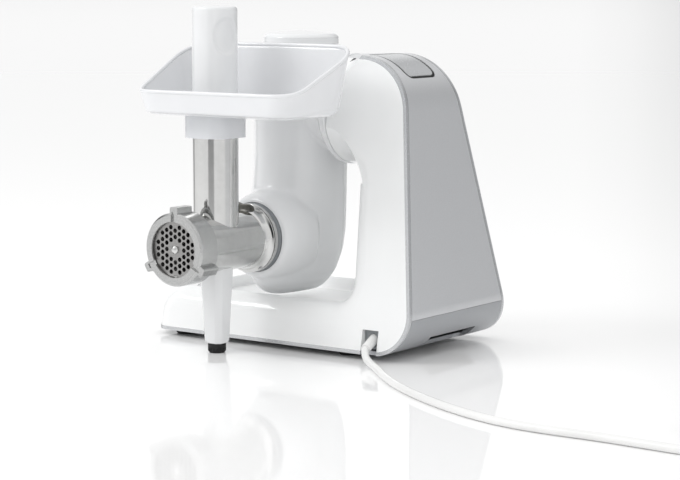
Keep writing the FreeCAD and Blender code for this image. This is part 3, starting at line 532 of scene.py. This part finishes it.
def buildRim(shape):
    line = [(a + b) / 2 for a, b in zip(wallRing(1, 0), wallRing(1, trayForm["wall"]))]
    for smooth in range(trayForm["smooth"]):
        line = [(line[i - 1] + line[i] * 2 + line[(i + 1) % len(line)]) / 4 for i in range(len(line))]
    rings = []
    for i, middle in enumerate(line):
        along = (line[(i + 1) % len(line)] - line[i - 1]).normalized()
        out = along.cross(Vector((0, 0, 1))).normalized()
        top = out.cross(along)
        ring = []
        for k in range(trayForm["around"]):
            turn = 2 * math.pi * k / trayForm["around"]
            spoke = out * math.cos(turn) + top * math.sin(turn)
            ring.append(middle + spoke * trayForm["bead"])
        rings.append(ring)
    bridgeRings(shape, rings + [rings[0]])


meshPiece("trayBowl", "tray_set", trayWhiteAbs, buildTray, ["tray"])
meshPiece("trayRimBead", "tray_set", trayWhiteAbs, buildRim)
print("tray done")


# pusher: a stem in the feed tube, a wide grip with a domed top and a shallow oval for the thumb
pusherForm = {"spots": 120, "rows": 90,
              # radius, height
              "stem": [(19.7, 138.5), (19.7, 227.2), (21.3, 227.4)], "grip": (21.3, 324.6),
              "top": [(21.1, 326.2), (20.3, 327.4), (19.0, 328.0), (12.0, 328.7), (4.0, 328.95)],
              # angles in degrees; the dip reaches its depth within a fifth of the way in
              "oval": {"turn": -19.0, "height": 301.0, "halfTurn": 38.0, "halfHeight": 18.0,
                       "dip": 1.7, "edge": 5}}


def buildPusher(shape):
    oval, rows = pusherForm["oval"], pusherForm["rows"]
    radius, top = pusherForm["grip"]
    base = pusherForm["stem"][-1][1]
    levels = list(pusherForm["stem"])
    levels += [(radius, base + (top - base) * (row + 1) / rows) for row in range(rows)]
    levels += pusherForm["top"]
    rings = []
    for reach, height in levels:
        ring = []
        for i in range(pusherForm["spots"]):
            angle = -180 + 360 * i / pusherForm["spots"]
            off = math.hypot((angle - oval["turn"]) / oval["halfTurn"],
                             (height - oval["height"]) / oval["halfHeight"])
            depth = min(1.0, max(0.0, (1 - off) * oval["edge"])) if reach == radius else 0
            inner = reach - oval["dip"] * depth
            turn = math.radians(angle)
            ring.append((feedAxis.x + inner * math.cos(turn), feedAxis.y + inner * math.sin(turn), height))
        rings.append(ring)
    solidRings(shape, rings)


meshPiece("pusherGrip", "pusher_set", glossWhiteAbs, buildPusher, ["pusher"])


# leg: a tapered eight-sided column that ends in a short chamfer above its rubber foot
legForm = {"cut": 0.42, "edge": 1.2, "edgeSteps": 3, "edgeFrom": 20,
           # height, half width along X, half width along Y
           "levels": [(96.0, 15.0, 13.8), (60.0, 13.0, 12.2), (15.0, 10.6, 10.0), (12.2, 9.6, 9.0),
                      (11.6, 8.6, 8.0)]}


def buildLeg(shape):
    rings = []
    for height, halfX, halfY in legForm["levels"]:
        cut = legForm["cut"] * halfX
        quarter = [(halfX, halfY - cut), (halfX - cut, halfY)]
        corners = [(halfX, -halfY + cut), *quarter, *((-x, y) for x, y in reversed(quarter)),
                   *((-x, -y) for x, y in quarter), (halfX - cut, -halfY)]
        rings.append([(feedAxis.x + x, feedAxis.y + y, height) for x, y in corners])
    solidRings(shape, rings)


leg = meshPiece("facetedLeg", "mincer", glossWhiteAbs, buildLeg, ["support_leg"])
edges = leg.modifiers.new("edges", "BEVEL")
edges.width = legForm["edge"] / 1000
edges.segments = legForm["edgeSteps"]
edges.limit_method = "ANGLE"
edges.angle_limit = math.radians(legForm["edgeFrom"])
bakeModifiers(leg)


# bayonet flange: a bright stepped ring behind the barrel's bell
flangeForm = {"spots": 128, "sharpFrom": 40,
              # radius, depth: the bell, a groove, the flat rim, the register, then the bore
              "profile": [(27.0, -93.5), (27.8, -91.5), (29.6, -88.6), (31.8, -87.2), (32.8, -86.6),
                          (33.0, -86.0), (32.6, -85.4), (31.0, -85.1), (31.0, -84.5), (32.8, -84.2),
                          (33.0, -83.7), (33.0, -80.6), (32.4, -80.0), (27.3, -79.8), (27.2, -71.2),
                          (22.4, -71.0), (22.2, -82.0), (12.6, -82.4), (12.6, -86.0), (24.0, -93.5)]}


def buildFlange(shape):
    rings = turnedRings(flangeForm["profile"], flangeForm["spots"], aboutMincer)
    bridgeRings(shape, rings + [rings[0]])


flange = meshPiece("brightFlange", "mincer", polishedAlloy, buildFlange,
                   ["bayonet_flange"])
flange.data.set_sharp_from_angle(angle=math.radians(flangeForm["sharpFrom"]))
print("pusher, leg and flange done")


# dark cast lobe of the bayonet; its face is drawn in a little at each step forward
lobe = {"levels": [(-84.6, 1.0), (-89.4, 1.0), (-90.5, 0.95), (-91.0, 0.86)], "rounds": 2,
        # x and height from the mincer's lying axis
        "outline": [(-15.3, 27), (-15.6, 31), (-13, 35), (-8, 34.6), (-3, 32.6), (2, 33.6), (6.7, 33),
                    (10.6, 29.5), (11.5, 25), (9, 21), (3, 24.5), (-6, 27.2)]}


def buildLobe(shape):
    outline = [Vector((feedAxis.x + x, 0, mincerZ + z)) for x, z in lobe["outline"]]
    middle = sum(outline, Vector()) / len(outline)
    rings = []
    for y, shrink in lobe["levels"]:
        drawnIn = [middle + (corner - middle) * shrink for corner in outline]
        rings.append([(corner.x, y, corner.z) for corner in drawnIn])
    solidRings(shape, rings)


castLobe = meshPiece("castLobe", "mincer", darkCastLug, buildLobe)
rounding = castLobe.modifiers.new("rounding", "SUBSURF")
rounding.levels = rounding.render_levels = lobe["rounds"]
bakeModifiers(castLobe)


# ribs in a ring about an axis, made by one node tree
def ribTree(name, finish):
    tree = bpy.data.node_groups.new(name, "GeometryNodeTree")
    tree.interface.new_socket("Geometry", in_out="INPUT", socket_type="NodeSocketGeometry")
    sockets = {}
    ribInputs = (("Count", "NodeSocketInt", 12), ("Ring Radius", "NodeSocketFloat", 0.01),
                 ("Rib Radius", "NodeSocketFloat", 0.001), ("Rib Length", "NodeSocketFloat", 0.01))
    for label, kind, value in ribInputs:
        socket = tree.interface.new_socket(label, in_out="INPUT", socket_type=kind)
        socket.default_value = value
        sockets[label] = socket.identifier
    tree.interface.new_socket("Geometry", in_out="OUTPUT", socket_type="NodeSocketGeometry")
    given = tree.nodes.new("NodeGroupInput").outputs
    ring = addNode(tree, "GeometryNodeMeshCircle",
                   {"Vertices": given["Count"], "Radius": given["Ring Radius"]})
    rib = addNode(tree, "GeometryNodeMeshCylinder",
                  {"Vertices": 10, "Radius": given["Rib Radius"], "Depth": given["Rib Length"]})
    stood = addNode(tree, "GeometryNodeInstanceOnPoints",
                    {"Points": ring.outputs["Mesh"], "Instance": rib.outputs["Mesh"]})
    real = addNode(tree, "GeometryNodeRealizeInstances", {"Geometry": stood.outputs["Instances"]})
    faced = addNode(tree, "GeometryNodeSetMaterial",
                    {"Geometry": real.outputs["Geometry"], "Material": finish})
    addNode(tree, "NodeGroupOutput", {0: faced.outputs["Geometry"]})
    return tree, sockets


def ribRing(name, body, finish, where, axis, sizes):
    tree, sockets = ribTree(name + "Tree", finish)
    piece = bpy.data.objects.new(name, bpy.data.meshes.new(name))
    bpy.context.scene.collection.objects.link(piece)
    repeat = piece.modifiers.new("ribs", "NODES")
    repeat.node_group = tree
    for label, value in sizes.items():
        repeat[sockets[label]] = value
    bakeModifiers(piece)
    turn = Vector((0, 0, 1)).rotation_difference(Vector(axis)).to_matrix().to_4x4()
    piece.data.transform(Matrix.Translation(place(*where)) @ turn)
    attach(piece, body)


faceLean = math.atan(0.185)      # how far the housing's far face leans back
ribRing("legFootRibs", "mincer", blackFootRubber, (*feedAxis, 6.2), (0, 0, 1),
        {"Count": 18, "Ring Radius": 0.0077, "Rib Radius": 0.0009, "Rib Length": 0.0040})
ribRing("knobRibs", "knob", knobPlastic, (108, 73.3, 129.3),
        (0, math.cos(faceLean), math.sin(faceLean)),
        {"Count": 24, "Ring Radius": 0.0169, "Rib Radius": 0.0009, "Rib Length": 0.0090})
print("ribs done")


# floor, sky and lamps
half = 40.0              # half the floor's side, in metres
floor = bpy.data.objects.new("floor", bpy.data.meshes.new("floor"))
floor.data.from_pydata([(-half, -half, 0), (half, -half, 0), (half, half, 0), (-half, half, 0)], [],
                       [(0, 1, 2, 3)])
bpy.context.scene.collection.objects.link(floor)
floorGloss = startMaterial("paleGlossFloor", Base_Color=linear("FFFFFF"), Roughness=0.06)[0]
floor.data.materials.append(floorGloss)

world = bpy.data.worlds.new("studio")
bpy.context.scene.world = world
world.use_nodes = True
tree = world.node_tree
tree.nodes.clear()
# reflections see a room with dark and light panels round it; everything else is lit evenly
ray = addNode(tree, "ShaderNodeTexCoord").outputs["Generated"]
parts = addNode(tree, "ShaderNodeSeparateXYZ", {"Vector": ray})
angle = addNode(tree, "ShaderNodeMath", {0: parts.outputs["Y"], 1: parts.outputs["X"]},
                operation="ARCTAN2")
share = addNode(tree, "ShaderNodeMapRange",
                {"Value": angle.outputs[0], "From Min": -math.pi, "From Max": math.pi})
around = ramp(tree, share.outputs["Result"], [
    (0.00, "F4F4F4"), (0.25, "F4F4F4"), (0.262, "242628"), (0.33, "3A3C3E"), (0.345, "F8F8F8"),
    (0.48, "F8F8F8"), (0.51, "CCCED0"), (0.64, "B8BABC"), (0.68, "2E3032"), (0.80, "484A4C"),
    (0.83, "F4F4F4"), (0.94, "F4F4F4"), (0.95, "101112"), (0.985, "101112"), (1.0, "F4F4F4")])
overhead = addNode(tree, "ShaderNodeMapRange",
                   {"Value": parts.outputs["Z"], "From Min": 0.35, "From Max": 0.7})
panorama = addNode(tree, "ShaderNodeMix",
                   {0: overhead.outputs["Result"], 6: around, 7: linear("FFFFFF")}, data_type="RGBA")
plain = addNode(tree, "ShaderNodeBackground", {"Color": linear("FFFFFF"), "Strength": 1.0})
studio = addNode(tree, "ShaderNodeBackground", {"Color": panorama.outputs[2], "Strength": 1.0})
paths = addNode(tree, "ShaderNodeLightPath")
glossyRay = paths.outputs["Is Glossy Ray"]
sky = addNode(tree, "ShaderNodeMixShader", {0: glossyRay, 1: plain.outputs[0], 2: studio.outputs[0]})
addNode(tree, "ShaderNodeOutputWorld", {"Surface": sky.outputs[0]})


def softLamp(name, where, aim, size, watts):
    data = bpy.data.lights.new(name, "AREA")
    data.shape = "RECTANGLE"
    data.size, data.size_y = size
    data.energy = watts
    lamp = bpy.data.objects.new(name, data)
    lamp.location = where
    lamp.rotation_euler = (Vector(aim) - Vector(where)).to_track_quat("-Z", "Y").to_euler()
    bpy.context.scene.collection.objects.link(lamp)


bpy.context.scene.view_settings.view_transform = "Standard"
softLamp("keyLamp", (-1.4, -1.6, 1.9), (0, 0, 0.15), (1.2, 0.9), 22)
print("stage done")
